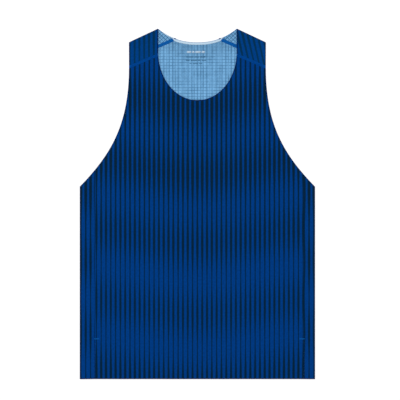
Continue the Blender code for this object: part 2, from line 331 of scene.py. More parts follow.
def addStripes(tree):  # the distance out from the nearest dark stripe's edge
    full = 2 * math.pi
    across, up = addMap(tree, "cut")[1:]
    turns = addNode(tree, "Math", {0: across, 1: full / stripes["scallopSpan"]}, operation="MULTIPLY")
    scallop = addNode(tree, "Math", {0: turns}, operation="COSINE")
    level = addNode(
        tree, "Math", {0: scallop, 1: stripes["scallopDrop"], 2: up}, operation="MULTIPLY_ADD")
    width = stripes["halfWidth"]
    for swing, span, thin in stripes["swells"]:
        turns = addNode(
            tree, "Math", {0: level, 1: full / span, 2: -full * thin / span}, operation="MULTIPLY_ADD")
        wave = addNode(tree, "Math", {0: turns}, operation="COSINE")
        width = addNode(tree, "Math", {0: wave, 1: -swing, 2: width}, operation="MULTIPLY_ADD")
    line = addNode(tree, "Math", {0: across, 1: stripes["pitch"] / 2}, operation="PINGPONG")
    return addNode(tree, "Math", {0: line, 1: width}, operation="SUBTRACT")


def addInk(tree, beyond):  # 1 on the dark stripes and 0 between them
    return addNode(
        tree, "MapRange",
        {"Value": beyond, "From Min": -stripes["bleed"], "From Max": stripes["bleed"],
         "To Min": 1, "To Max": 0},
        interpolation_type="SMOOTHSTEP")


def addGridLines(tree, across, up, pitch, halfLine):  # 1 on the lines of a square grid, 0 between
    lines = []
    for way in (across, up):
        line = addNode(tree, "Math", {0: way, 1: pitch / 2}, operation="PINGPONG")
        lines.append(addNode(
            tree, "MapRange",
            {"Value": line, "From Min": knit["lineCore"] * halfLine, "From Max": halfLine,
             "To Min": 1, "To Max": 0},
            interpolation_type="SMOOTHSTEP"))
    return addNode(tree, "Math", {0: lines[0], 1: lines[1]}, operation="MAXIMUM")


def addLoops(tree, grain):  # height of the knit's loops, in columns and rows
    columns = addNode(
        tree, "TexWave", {"Vector": grain, "Scale": oneWave / knit["wale"], "Distortion": 0.4},
        bands_direction="X")
    rows = addNode(
        tree, "TexWave", {"Vector": grain, "Scale": oneWave / knit["course"], "Distortion": 0.6},
        bands_direction="Y")
    return addNode(
        tree, "Math", {0: columns.node.outputs["Fac"], 1: rows.node.outputs["Fac"]},
        operation="MULTIPLY")


def addMottle(tree, grain, scale, detail, low, high):  # soft unevenness between two values
    mottle = addNode(
        tree, "TexNoise", {"Vector": grain, "Scale": scale, "Detail": detail}, noise_dimensions="2D")
    return addNode(
        tree, "MapRange",
        {"Value": mottle, "From Min": 0.3, "From Max": 0.7, "To Min": low, "To Max": high})


def addFade(tree, reach, edge, beyond):  # from one value at cut edges and folds to another
    fromEdge = addNode(tree, "Attribute", attribute_name="fromEdge").node.outputs["Fac"]
    return addNode(
        tree, "MapRange",
        {"Value": fromEdge, "From Min": reach[0], "From Max": reach[1], "To Min": edge, "To Max": beyond})


def makePrintedKnit(name, blue, ink, core):
    # Polyester interlock with a sublimated print: matt and deep in colour, the ink soft at its edges
    tree = newMaterial(name, {
        "Roughness": 0.8, "IOR": 1.5, "Specular IOR Level": 0.1,
        "Specular Tint": linear("#3f78c8"), "Sheen Weight": 0.05, "Sheen Roughness": 0.5,
        "Sheen Tint": linear("#2c62b4")})
    beyond = addStripes(tree)
    inked = addInk(tree, beyond)
    colour = addNode(tree, "Mix", {0: inked, 6: linear(blue), 7: linear(ink)}, data_type="RGBA")
    deep = addNode(
        tree, "MapRange",
        {"Value": beyond, "From Min": -2 * stripes["core"], "From Max": -stripes["core"],
         "To Min": 1, "To Max": 0})
    colour = addNode(tree, "Mix", {0: deep, 6: colour, 7: linear(core)}, data_type="RGBA")
    # Painted shade: the edge colour darkens the print along cut edges and folds, where the cloth turns
    # away from the light
    edge = addFade(tree, knit["edgeShadeFade"], 1, 0)
    colour = addNode(tree, "Mix", {0: edge, 6: colour, 7: linear(knit["edge"])}, data_type="RGBA")
    grain, across, up = addMap(tree, "grain")
    squares = addGridLines(tree, across, up, knit["grid"], knit["gridLine"])
    bright = addMottle(tree, grain, scale=260, detail=3, low=0.9, high=1.1)  # 4 mm across
    bright = addNode(
        tree, "Math", {0: squares, 1: -knit["gridDim"], 2: bright}, operation="MULTIPLY_ADD")
    colour = addNode(tree, "HueSaturation", {"Value": bright, "Color": colour})
    relief = addNode(
        tree, "Math", {0: squares, 1: knit["gridRise"], 2: addLoops(tree, grain)},
        operation="MULTIPLY_ADD")
    return finishMaterial(name, colour, relief, strength=0.45, depth=0.00012)


def makeInsideKnit(name, wideShare, fineShare, nearEdgeShade):
    # The knit's unprinted inside: pale, dry and open, gridded, with the stripes showing through
    tree = newMaterial(name, {
        "Roughness": 0.85, "IOR": 1.5, "Specular IOR Level": 0.15,
        "Sheen Weight": 0.05, "Sheen Roughness": 0.5, "Sheen Tint": linear("#a9cbe8")})
    ink = addInk(tree, addStripes(tree))
    grain, across, up = addMap(tree, "grain")
    wide = addGridLines(tree, across, up, insideKnit["wideGrid"], insideKnit["wideLine"])
    fine = addGridLines(tree, across, up, insideKnit["fineGrid"], insideKnit["fineLine"])
    lines = addNode(tree, "Math", {0: fine, 1: fineShare}, operation="MULTIPLY")
    lines = addNode(tree, "Math", {0: wide, 1: wideShare, 2: lines}, operation="MULTIPLY_ADD")
    uneven = addMottle(tree, grain, scale=55, detail=2, low=0.7, high=1.2)  # 18 mm across
    lines = addNode(tree, "Math", {0: lines, 1: uneven}, operation="MULTIPLY", use_clamp=True)
    pale, line, showing, edgeShadeColour = (linear(insideKnit[key]) for key in ("pale", "line", "through", "edge"))
    colour = addNode(tree, "Mix", {0: lines, 6: pale, 7: line}, data_type="RGBA")
    through = addNode(tree, "Math", {0: ink, 1: insideKnit["throughShare"]}, operation="MULTIPLY")
    colour = addNode(tree, "Mix", {0: through, 6: colour, 7: showing}, data_type="RGBA")
    # Painted shade: a darker blue line along cut edges and folds
    edge = addFade(tree, insideKnit["edgeShadeFade"], 1, 0)
    colour = addNode(tree, "Mix", {0: edge, 6: colour, 7: edgeShadeColour}, data_type="RGBA")
    bright = addMottle(tree, grain, scale=180, detail=3, low=0.93, high=1.07)  # 6 mm
    # Painted shade: the inside darkens near its edges, standing in for the neck tape's shadow
    paintedShade = addFade(tree, insideKnit["nearEdgeShadeFade"], nearEdgeShade, 1)
    bright = addNode(tree, "Math", {0: bright, 1: paintedShade}, operation="MULTIPLY")
    colour = addNode(tree, "HueSaturation", {"Value": bright, "Color": colour})
    relief = addNode(
        tree, "Math", {0: lines, 1: insideKnit["lineRise"], 2: addLoops(tree, grain)},
        operation="MULTIPLY_ADD")
    return finishMaterial(name, colour, relief, strength=0.6, depth=0.00018)


def makeCutEdge():
    # The wall of a laser-cut, heat-sealed edge: dark navy and a little glossier
    tree = newMaterial("darkCutEdgeWall", {
        "Roughness": 0.55, "IOR": 1.5, "Specular IOR Level": 0.15, "Specular Tint": linear("#3f78c8")})
    spot = addNode(tree, "TexCoord").node.outputs["Object"]
    fibres = addNode(tree, "TexNoise", {"Vector": spot, "Scale": 1400, "Detail": 2})  # 0.7 mm
    colour = addNode(
        tree, "Mix", {0: fibres, 6: linear("#011a48"), 7: linear("#022c6e")}, data_type="RGBA")
    return finishMaterial("darkCutEdgeWall", colour, fibres, strength=0.4, depth=0.0001)


def makeThread(name, dark, light):
    # Textured polyester thread, filaments twisted loosely: soft gloss, and a painted highlight, its
    # colour lighter on the filaments' crowns
    tree = newMaterial(name, {
        "Roughness": 0.6, "IOR": 1.5, "Specular IOR Level": 0.2,
        "Specular Tint": linear(light), "Sheen Weight": 0.1, "Sheen Tint": linear(light)})
    twist = 0.00035  # from one crown to the next
    spot = addNode(tree, "TexCoord").node.outputs["Object"]
    filaments = addNode(
        tree, "TexWave", {"Vector": spot, "Scale": oneWave / twist, "Distortion": 3, "Detail": 2},
        bands_direction="DIAGONAL")
    filaments = filaments.node.outputs["Fac"]
    # Painted highlight: the crowns of the twist are coloured lighter
    colour = addNode(
        tree, "Mix", {0: filaments, 6: linear(dark), 7: linear(light)}, data_type="RGBA")
    return finishMaterial(name, colour, filaments, strength=0.5, depth=0.00008)


tapeKnit = {
    # the edge colour is painted shade on the rolled edge, and the groove colour is painted shade between
    # the ribs
    "edge": "#a8bad4", "pale": "#cbe4f6", "grooveShade": "#a3c4de",
    "split": 0.30,  # share of the width where the rolled edge ends
    "splitBlur": 0.04,
    "rib": 0.0011,
    "grooveShadeShare": 0.35,
}


def makeTapeKnit():
    # Narrow knitted tape: a rolled edge along the neckline, painted greyer as shade, and a pale ribbed
    # lane inside it, its rib grooves painted darker as shade
    tree = newMaterial("ribbedNeckTape", {
        "Roughness": 0.7, "IOR": 1.5, "Specular IOR Level": 0.2,
        "Sheen Weight": 0.1, "Sheen Tint": linear("#dcebf6")})
    edge, pale, grooveShade = (linear(tapeKnit[key]) for key in ("edge", "pale", "grooveShade"))
    split, blur, share = (tapeKnit[key] for key in ("split", "splitBlur", "grooveShadeShare"))
    along, across = addMap(tree, "cut")[1:]
    inner = addNode(
        tree, "MapRange", {"Value": across, "From Min": split - blur, "From Max": split + blur})
    colour = addNode(tree, "Mix", {0: inner, 6: edge, 7: pale}, data_type="RGBA")
    ribs = addNode(tree, "Math", {0: along, 1: tapeKnit["rib"] / 2}, operation="PINGPONG")
    ribs = addNode(
        tree, "MapRange", {"Value": ribs, "From Max": tapeKnit["rib"] / 2},
        interpolation_type="SMOOTHSTEP")
    # Painted shade: the grooves between the ribs are darkened
    paintedShade = addNode(tree, "Math", {0: ribs, 1: -share, 2: share}, operation="MULTIPLY_ADD")
    colour = addNode(tree, "Mix", {0: paintedShade, 6: colour, 7: grooveShade}, data_type="RGBA")
    return finishMaterial("ribbedNeckTape", colour, ribs, strength=0.5, depth=0.0001)


def makeTransferInk(name, fresh, worn):
    # Heat-transfer ink on the knit: matt film that the loops show through
    tree = newMaterial(name, {"Roughness": 0.6, "IOR": 1.45, "Specular IOR Level": 0.2})
    spot = addNode(tree, "TexCoord").node.outputs["Object"]
    speckle = addNode(tree, "TexNoise", {"Vector": spot, "Scale": 900, "Detail": 3})  # 1 mm
    patchy = addNode(
        tree, "MapRange", {"Value": speckle, "From Min": 0.35, "From Max": 0.65, "To Max": 0.5})
    colour = addNode(tree, "Mix", {0: patchy, 6: linear(fresh), 7: linear(worn)}, data_type="RGBA")
    return finishMaterial(name, colour, speckle, strength=0.3, depth=0.00005)


cutEdge = makeCutEdge()
panelCloth = (
    makePrintedKnit("sublimatedInterlockKnit", blue="#013d88", ink="#062640", core="#0e2130"),
    makeInsideKnit("openGridKnitInside", wideShare=0.45, fineShare=0.42, nearEdgeShade=0.76),
    cutEdge)
yokeCloth = (
    makePrintedKnit("sublimatedYokeKnit", blue="#014088", ink="#053358", core="#0a2a48"),
    makeInsideKnit("yokeKnitInside", wideShare=0.95, fineShare=0.22, nearEdgeShade=0.86),
    cutEdge)
seamThread = makeThread("seamThreadBlue", "#01418f", "#0350a2")
backThread = makeThread("backSeamThreadBright", "#0c59a6", "#166dbe")
neckTapeKnit = makeTapeKnit()
tapeThread = makeThread("neckTapeThreadPale", "#a3bfd8", "#c7def1")
tapeEndThread = makeThread("neckTapeEndThreadNavy", "#182c66", "#254890")
paleInk = makeTransferInk("paleTransferInk", "#c7ddf1", "#8db8dd")
darkInk = makeTransferInk("darkTransferInk", "#356689", "#568cb8")
print("singlet: materials made")


# Cutting and laying the cloth. A cut is a ring of runs, each the kind of its edge and its points:
# open and vent edges are cut raw, side edges are sewn plainly and yoke edges lie under a flatlock band.
clothEdges = {
    "rings": (0.00030, 0.00060, 0.00110, 0.00140),  # how wide the rows of faces inside an edge are
    "cornerClear": 0.0105,
    "curvePoints": 6,  # a run of fewer points has no curve
    "grid": 0.005,
    "snap": 0.00015,  # a cut this near a point goes through it
    "foldCuts": 12,  # across each half circle
    "foldClear": 1.3,  # fold radii in from a side fold to the armhole's own points
    "backNeckSteps": 20,  # on each side of the middle
    "yokeNeckSteps": 12,
    "yokeSpan": (-0.03, 0.09),  # where the cuts across a shoulder run, from its neck point
    "yokeCuts": 11,  # on each side of a shoulder fold
    "spacing": 0.0004,  # for measuring from an edge
    "dips": {  # depth at an edge, how far it is level, and how far it slopes
        "open": (0.00015, 0, 0.0008), "vent": (0.00015, 0, 0.0008),
        "side": (0.00045, 0, 0.0020), "yoke": (0.00040, 0.0024, 0.0018),
    },
    "ventTurn": 0.0014,  # how much narrower the painted shade line is beside a vent
    "foldOut": 0.999,  # the outward way is less upright than this only on a fold
    "pucker": 0.00022, "puckerSpan": 0.0075, "puckerReach": 0.012,
    "puckerLevel": (0.5, 0.2),  # where in the noise it runs
}


def every(spacing, low, high):  # evenly spaced cuts, through zero
    return [spacing * step for step in range(math.ceil(low / spacing), math.floor(high / spacing) + 1)]


def foldCuts(middle):
    steps = clothEdges["foldCuts"]
    return [middle + turn * math.pi * (step / steps - 0.5) for step in range(steps + 1)]


def foldDepths():
    quarter = clothEdges["foldCuts"] // 2
    return [turn * (1 - math.cos(math.pi / 2 * step / quarter)) for step in range(quarter + 1)]


def mirroredRuns(runs):
    return [(kind, [Vector((-p[0], p[1])) for p in reversed(run)]) for kind, run in reversed(runs)]


def cleared(run):  # a curve without the points near its ends, which would cross as the rings move in
    if len(run) < clothEdges["curvePoints"]:
        return run
    ends, clear = (Vector(run[0]), Vector(run[-1])), clothEdges["cornerClear"]
    inner = [p for p in run[1:-1] if min((Vector(p) - end).length for end in ends) > clear]
    return [run[0]] + inner + [run[-1]]


def cutCloth(runs, cutsAcross, cutsUp):
    sheet = bmesh.new()
    outline = [point for run in runs for point in cleared(run[1])[:-1]]
    heart = sheet.faces.new([sheet.verts.new((point[0], point[1], 0)) for point in outline])
    heart.normal_update()
    for ring in clothEdges["rings"]:
        bmesh.ops.inset_region(
            sheet, faces=[heart], thickness=ring, use_boundary=True, use_even_offset=True)
    for cuts, squareTo in ((cutsAcross, (1, 0, 0)), (cutsUp, (0, 1, 0))):
        for cut in cuts:
            bmesh.ops.bisect_plane(
                sheet, geom=sheet.verts[:] + sheet.edges[:] + sheet.faces[:],
                dist=clothEdges["snap"], plane_co=Vector(squareTo) * cut, plane_no=squareTo)
    bmesh.ops.triangulate(sheet, faces=[face for face in sheet.faces if len(face.verts) > 4])
    return sheet


def newObject(name, form, materials):
    mesh = bpy.data.meshes.new(name)
    form.to_mesh(mesh)
    form.free()
    for material in materials:
        mesh.materials.append(material)
    item = bpy.data.objects.new(name, mesh)
    bpy.context.scene.collection.objects.link(item)
    return item


def newPiece(name, form, materials):  # all on one body
    piece = newObject(name, form, materials)
    piece.data.shade_smooth()
    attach(piece, "root")
    return piece


def layCloth(name, sheet, runs, laidAt, cloth=panelCloth, printAt=lambda x, y: (x, y), grain=(0, 1)):
    # laidAt gives where a point lies, which way is out, and whether it is on the upper layer
    cutMap, grainMap = (sheet.loops.layers.uv.new(layer) for layer in ("cut", "grain"))
    turned = Matrix.Rotation(math.radians(grain[0]), 2) * grain[1]
    for face in sheet.faces:
        for loop in face.loops:
            loop[cutMap].uv = printAt(*loop.vert.co.xy)
            loop[grainMap].uv = turned @ loop.vert.co.xy
    distances = {
        kind: nearestTo([point for runKind, run in runs if runKind == kind
                         for point in alongLine([Vector(p) for p in run], clothEdges["spacing"])])
        for kind in clothEdges["dips"]}
    fromEdge = sheet.verts.layers.float.new("fromEdge")
    for vert in sheet.verts:
        x, y = vert.co.xy
        away = {kind: distance(x, y) for kind, distance in distances.items()}
        dip = max(deep * (1 - ease((away[kind] - level) / slope))
                  for kind, (deep, level, slope) in clothEdges["dips"].items())
        at, out, upper = laidAt(x, y)
        if upper:
            first, last = clothEdges["puckerLevel"]
            gather = noise.noise(Vector((first, at.y / clothEdges["puckerSpan"], last)))
            at.z += clothEdges["pucker"] * gather * (1 - ease(away["side"] / clothEdges["puckerReach"]))
        vert[fromEdge] = min(away["open"], away["vent"] + clothEdges["ventTurn"])
        if abs(out.z) < clothEdges["foldOut"]:  # painted shade: a pressed fold is darkened along its line, as a cut edge is, where it turns from the light
            vert[fromEdge] = min(vert[fromEdge], turn * (1 - math.sqrt(1 - out.z * out.z)))
        vert.co = at - dip * out - Vector((0, length / 2, 0))
    sheet.normal_update()
    if max(sheet.faces, key=lambda face: face.calc_center_median().z).normal.z < 0:
        bmesh.ops.reverse_faces(sheet, faces=sheet.faces)
    piece = newPiece(name, sheet, cloth)
    wall = piece.modifiers.new("Wall", "SOLIDIFY")
    wall.thickness = singlet["cloth"]
    wall.offset = -1
    wall.use_even_offset = True
    wall.material_offset = 1
    wall.material_offset_rim = 2
    return piece


def sheetSize(sheet):  # the flat cut's box and area, before it is laid
    xs, ys = zip(*(vert.co.xy for vert in sheet.verts))
    return (max(xs) - min(xs), max(ys) - min(ys)), sum(face.calc_area() for face in sheet.faces)


def hemRun(leftX, rightX):
    slit = singlet["slit"]
    return "open", [(-rightX + slit, 0), (leftX - slit, 0)]


def sideRuns(edgeX, highEnd):  # from the hem, a slit to the vent's top, then sewn up to the armhole
    vent, slitX = singlet["vent"], edgeX - singlet["slit"]
    return [
        ("vent", [(slitX, 0), (slitX, vent - singlet["ventClose"]), (edgeX, vent)]),
        ("side", [(edgeX, vent), (edgeX, highEnd)])]


def makeFront():
    seamInner, seamOuter = singlet["frontSeam"]

    def half(seam):
        arm = [Vector((seam, armholeHeight(seam)))] + [p for p in armhole if p.x < seam - spare]
        return sideRuns(seam, armholeHeight(seam)) + [
            ("open", arm), ("yoke", [(shoulderOut, seamOuter), (neckPoint, seamInner)])]

    left, right = singlet["leftSeam"], singlet["rightSeam"]
    neck = [(neckPoint, seamInner)] + scoop + [(-neckPoint, seamInner)]
    runs = [hemRun(left, right)] + half(left) + [("open", neck)] + mirroredRuns(half(right))
    grid = clothEdges["grid"]
    sheet = cutCloth(runs, every(grid, -right, left), every(grid, spare, seamInner))
    size = sheetSize(sheet)
    front = layCloth(
        "printed_front", sheet, runs,
        lambda x, y: (Vector((x, y, upperFace(x, y))), Vector((0, 0, 1)), True))
    return front, size


def makeBack():
    middle = halfChest + alongCloth(turn, 1) - turn  # across the opened cut, to the folds' middles
    seamNeck, seamOut = singlet["backSeamNeck"], singlet["backSeamOut"]

    def edgeAcross(seam):
        return middle + alongCloth(halfChest - seam, 1)

    def half(seam):
        inward = [p for p in armhole if p.x < halfChest - clothEdges["foldClear"] * turn]
        turning = [Vector((halfChest - d, armholeHeight(halfChest - d))) for d in foldDepths()]
        forward = [Vector((seam, armholeHeight(seam)))]
        forward += [p for p in inward if p.x > seam + spare][::-1] + turning[:0:-1]
        arm = [Vector((middle + alongCloth(halfChest - x, 1), y)) for x, y in forward]
        arm += [Vector((middle + alongCloth(halfChest - x, -1), y)) for x, y in turning]
        arm += inward + [Vector((shoulderOut, seamOut))]
        return sideRuns(edgeAcross(seam), armholeHeight(seam)) + [
            ("open", arm), ("yoke", [(shoulderOut, seamOut), (seamNeck, backNeck(seamNeck))])]

    def laidAt(across, y):
        depth, z, (inward, up) = roundFold(abs(across) - middle)
        x = math.copysign(halfChest - depth, across)
        upper = abs(across) > middle
        if upper:
            z += upperFace(x, y) - top
        return Vector((x, y, z)), Vector((-math.copysign(inward, across), 0, up)), upper

    left, right = singlet["leftSeam"], singlet["rightSeam"]
    steps = clothEdges["backNeckSteps"]
    neck = [(x, backNeck(x)) for x in (seamNeck * (1 - step / steps) for step in range(2 * steps + 1))]
    hem = hemRun(edgeAcross(left), edgeAcross(right))
    runs = [hem] + half(left) + [("open", neck)] + mirroredRuns(half(right))
    grid = clothEdges["grid"]
    reach = halfChest - turn
    cutsAcross = every(grid, -reach, reach) + foldCuts(middle) + foldCuts(-middle)
    for seam, side in ((left, 1), (right, -1)):
        forward = every(grid, spare, edgeAcross(seam) - middle - turn * math.pi / 2 - 2 * spare)
        cutsAcross += [side * (middle + turn * math.pi / 2 + step) for step in forward]
    sheet = cutCloth(runs, cutsAcross, every(grid, spare, length))
    size = sheetSize(sheet)
    back = layCloth(
        "printed_back", sheet, runs, laidAt, printAt=lambda x, y: (x, y + singlet["backPrintShift"]))
    return back, size


shoulderAlong = Vector((shoulderOut - neckPoint, -singlet["shoulderDrop"])).normalized()
shoulderDown = Vector((shoulderAlong.y, -shoulderAlong.x))  # square to the fold, towards the hem


def makeYoke(name, side, printLean):
    def opened(x, y, layer):
        fromNeck = Vector((x - neckPoint, y - length))
        depth = max(fromNeck.dot(shoulderDown), 0)
        return Vector((fromNeck.dot(shoulderAlong), alongCloth(depth, layer)))

    armTop = length - singlet["shoulderDrop"]
    drops = [depth / shoulderAlong.x for depth in foldDepths()]
    backArm = [(shoulderOut, singlet["backSeamOut"])]
    backArm += [(shoulderOut, armTop - drop) for drop in reversed(drops)]
    frontArm = [(shoulderOut, armTop - drop) for drop in drops[1:]]
    frontArm += [(shoulderOut, singlet["frontSeam"][1])]
    frontNeck = [(neckPoint, singlet["frontSeam"][0])]
    frontNeck += [(neckPoint, length - drop) for drop in reversed(drops)]
    # The back neckline leaves the fold at a slant, so its x gives each cut of the fold its depth
    slant = singlet["backNeckDrop"] * singlet["backNeckPower"] / neckPoint
    slant += singlet["shoulderDrop"] / (shoulderOut - neckPoint)
    backNeckXs = [neckPoint - depth / (shoulderAlong.x * slant) for depth in foldDepths()[1:]]
    reach, steps = backNeckXs[-1] - singlet["backSeamNeck"], clothEdges["yokeNeckSteps"]
    backNeckXs += [backNeckXs[-1] - reach * step / steps for step in range(1, steps + 1)]
    under = [opened(x, y, -1) for x, y in backArm]
    over = [opened(x, y, 1) for x, y in frontArm]
    neckOver = [opened(x, y, 1) for x, y in frontNeck]
    neckUnder = [opened(x, backNeck(x), -1) for x in backNeckXs]
    runs = [
        ("open", under + over), ("yoke", [over[-1], neckOver[0]]),
        ("open", neckOver + neckUnder), ("yoke", [neckUnder[-1], under[0]])]

    def laidAt(along, around):
        depth, z, (inward, up) = roundFold(around)
        plan = Vector((neckPoint, length)) + shoulderAlong * along + shoulderDown * depth
        x, y = side * plan.x, plan.y
        if around > 0:
            z += upperFace(x, y) - top
        out = shoulderDown * inward
        return Vector((x, y, z)), Vector((side * out.x, out.y, up)), around > 0

    lean = math.atan2(shoulderAlong.y, shoulderAlong.x) + math.radians(printLean)

    def printAt(along, around):
        return (neckPoint + along * math.cos(lean) + around * math.sin(lean),
                length + along * math.sin(lean) - around * math.cos(lean))

    edge, grid = turn * math.pi / 2, clothEdges["grid"]
    legs = [edge + grid * step for step in range(1, clothEdges["yokeCuts"] + 1)]
    cutsUp = foldCuts(0) + legs + [-leg for leg in legs]
    sheet = cutCloth(runs, every(grid, *clothEdges["yokeSpan"]), cutsUp)
    size = sheetSize(sheet)
    return layCloth(name, sheet, runs, laidAt, yokeCloth, printAt, singlet["yokeGrain"]), size


front, frontSize = makeFront()
print("singlet: front cut and laid,", len(front.data.polygons), "faces")
back, backSize = makeBack()
print("singlet: back cut and laid,", len(back.data.polygons), "faces")
leftYoke, leftYokeSize = makeYoke("printed_yoke_left", 1, printLean=-13)
rightYoke, rightYokeSize = makeYoke("printed_yoke_right", -1, printLean=0)
print("singlet: yokes cut and laid,", len(leftYoke.data.polygons), "faces each")


# Sewing. A thread is a slim ball drawn out between two points, its ends sunk in what it holds.
def sewThread(form, start, end, radius, material=0):
    span = end - start
    matrix = Matrix.Translation((start + end) / 2) @ span.to_track_quat("Z", "Y").to_matrix().to_4x4()
    matrix @= Matrix.Diagonal((radius, radius, span.length / 2, 1))
    made = bmesh.ops.create_uvsphere(form, u_segments=6, v_segments=5, radius=1, matrix=matrix)
    for face in {face for vert in made["verts"] for face in vert.link_faces}:
        face.material_index = material


def thicken(form, wall, facing=1):  # turns a strip's faces up (1) or down (-1), then walls it behind
    form.normal_update()
    if next(iter(form.faces)).normal.z * facing < 0:
        bmesh.ops.reverse_faces(form, faces=form.faces[:])
    bmesh.ops.solidify(form, geom=form.faces[:], thickness=wall)


flatlock = {
    "pressed": 0.45,  # share of its height left on the underside, under the garment's weight
    "frontWidth": 0.0064,
    "backWidth": 0.0066,
    "crown": 0.00035,
    "wall": 0.00030,
    "cell": 0.003, "cellsAcross": 8,
    "crossPitch": 0.00080, "crossRadius": 0.00036, "crossLean": 0.0009,
    "needleRows": (-0.36, -0.12, 0.12, 0.36),  # shares of the width
    "stitch": 0.0021, "stitchGap": 0.0004, "stitchRadius": 0.00024,
    "sunk": 0.55,  # height of a thread's middle, as a share of what is under it
}


def makeFlatlock(name, side, ends, neckWay, width, face, facing, thread):
    # A band of thread over a seam, from the neckline, which runs the way neckWay, to the upright
    # armhole. face gives the cloth's height, and facing is 1 up and -1 down.
    start, end = ends
    way = (end - start).normalized()
    square = Vector((-way.y, way.x))
    reach = (end - start).length
    neckLean = neckWay.dot(way) / neckWay.dot(square)
    armLean = way.y / way.x
    press = 1 if facing > 0 else flatlock["pressed"]

    def at(along, across, rise):
        lean = neckLean + (armLean - neckLean) * along / reach
        plan = start + way * (along + lean * across) + square * across
        x = side * plan.x
        z = face(x, plan.y) + facing * press * rise
        return Vector((x, plan.y - length / 2, z))

    def crown(across):
        return flatlock["crown"] * (1 - abs(2 * across / width) ** 4)

    form = bmesh.new()
    bmesh.ops.create_grid(
        form, x_segments=int(reach / flatlock["cell"]), y_segments=flatlock["cellsAcross"], size=0.5)
    for vert in form.verts:
        along, across = (vert.co.x + 0.5) * reach, vert.co.y * width
        vert.co = at(along, across, crown(across))
    thicken(form, flatlock["wall"], facing)
    pitch, lean, half = flatlock["crossPitch"], flatlock["crossLean"], width / 2
    rise, radius = flatlock["crown"] * flatlock["sunk"], flatlock["crossRadius"] * press
    for step in range(int((reach - lean) / pitch)):
        along = (step + 0.5) * pitch
        sewThread(form, at(along, -half, rise), at(along + lean, half, rise), radius)
    stitch, radius = flatlock["stitch"], flatlock["stitchRadius"] * press
    pitch = stitch + flatlock["stitchGap"]
    for row, share in enumerate(flatlock["needleRows"]):
        across = share * width
        rise = crown(across) + flatlock["crossRadius"] * flatlock["sunk"]
        first = (row % 2) * pitch / 2
        for step in range(int((reach - first - stitch) / pitch)):
            along = first + step * pitch
            sewThread(form, at(along, across, rise), at(along + stitch, across, rise), radius)
    return newPiece(name, form, (thread,))


def seamEnds(line, startX):
    return Vector((startX, line(startX))), Vector((shoulderOut, line(shoulderOut)))


sewing = {"front": [], "back": []}
inside = singlet["cloth"]
yokeDip = clothEdges["dips"]["yoke"][0]
frontEnds = seamEnds(frontSeam, neckPoint)
backEnds = seamEnds(backSeam, singlet["backSeamNeck"])
frontWay, backWay = Vector((0, 1)), backNeckWay(singlet["backSeamNeck"], step=0.001)
for hand, side in (("left", 1), ("right", -1)):
    band = makeFlatlock(
        f"front_flatlock_{hand}", side, frontEnds, frontWay, flatlock["frontWidth"],
        lambda x, y: upperFace(x, y) - yokeDip, 1, seamThread)
    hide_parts(f"front_seam_tape_{hand}")
    sewing["front"].append(band)
    band = makeFlatlock(
        f"back_flatlock_{hand}", side, backEnds, backWay, flatlock["backWidth"],
        lambda x, y: inside + yokeDip, 1, backThread)
    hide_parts(f"back_seam_tape_{hand}")
    sewing["back"].append(band)
    band = makeFlatlock(  # the same seam's outer side, against the floor
        f"back_outer_flatlock_{hand}", side, backEnds, backWay, flatlock["backWidth"],
        lambda x, y: yokeDip, -1, seamThread)
    sewing["back"].append(band)
print("singlet: flatlock bands sewn")

neckTape = {
    "width": 0.0050,
    "endWidth": 0.0016,
    "narrowing": 0.0065,  # how far past a yoke seam it takes to narrow
    "rightEnd": -0.0690,
    "leftEnd": 0.0520,
    "cellsAlong": 120, "cellsAcross": 12,
    "wall": 0.00045,
    "wrap": 0.0004,  # how far it stands out past the neckline
    "rollCrown": 0.00035,
    "rollStart": 0.15,  # how far round its arch the rolled edge begins
    "rollDrop": 0.0005, "rollShare": 0.6,  # it drops over the cut edge in this share of its width
    "laneCrown": 0.00025,
    "overBand": 0.0009,  # rise over the end of a back yoke seam
    "bandLean": 0.005,  # how far out the seam moves across the tape's width
    "bandHalf": 0.0030,
    "bandSlope": 0.0045,
    "laneRow": 0.86,  # share of the width, where the inner stitches run
    "stitch": 0.0017, "stitchPitch": 0.0023, "stitchRadius": 0.00020, "stitchRise": 0.00006,
}
seamEndThreads = {  # the ends of the back yoke seams' thread, turned over the neckline
    "count": 4, "first": 0.0432, "pitch": 0.0009, "radius": 0.0006,
    "outer": (-0.16, -0.0001), "inner": (0.34, 0.0003),  # share of the tape's width, and rise
}


def neckTapeWidth(x):
    part = ease((abs(x) - singlet["backSeamNeck"]) / neckTape["narrowing"])
    return neckTape["width"] + part * (neckTape["endWidth"] - neckTape["width"])


def neckTapeAt(x, share, rise=0):
    edge = backNeckWay(x, step=0.0005).normalized()
    down = Vector((edge.y, -edge.x))
    plan = Vector((x, backNeck(x))) + down * (share * neckTapeWidth(x) - neckTape["wrap"] * (1 - share))
    split, start = tapeKnit["split"], neckTape["rollStart"]
    if share < split:
        crown = neckTape["rollCrown"] * math.sin(math.pi * (start + (1 - start) * share / split))
        crown -= neckTape["rollDrop"] * (1 - ease(share / (neckTape["rollShare"] * split)))
    else:
        crown = neckTape["laneCrown"] * math.sin(math.pi * (share - split) / (1 - split)) ** 0.5
    fromSeam = abs(x) - singlet["backSeamNeck"]
    fromBand = abs(fromSeam - neckTape["bandLean"] * share) - neckTape["bandHalf"]
    over = neckTape["overBand"] * (1 - ease(fromBand / neckTape["bandSlope"]))
    return Vector((plan.x, plan.y - length / 2, inside + neckTape["wall"] + crown + over + rise))


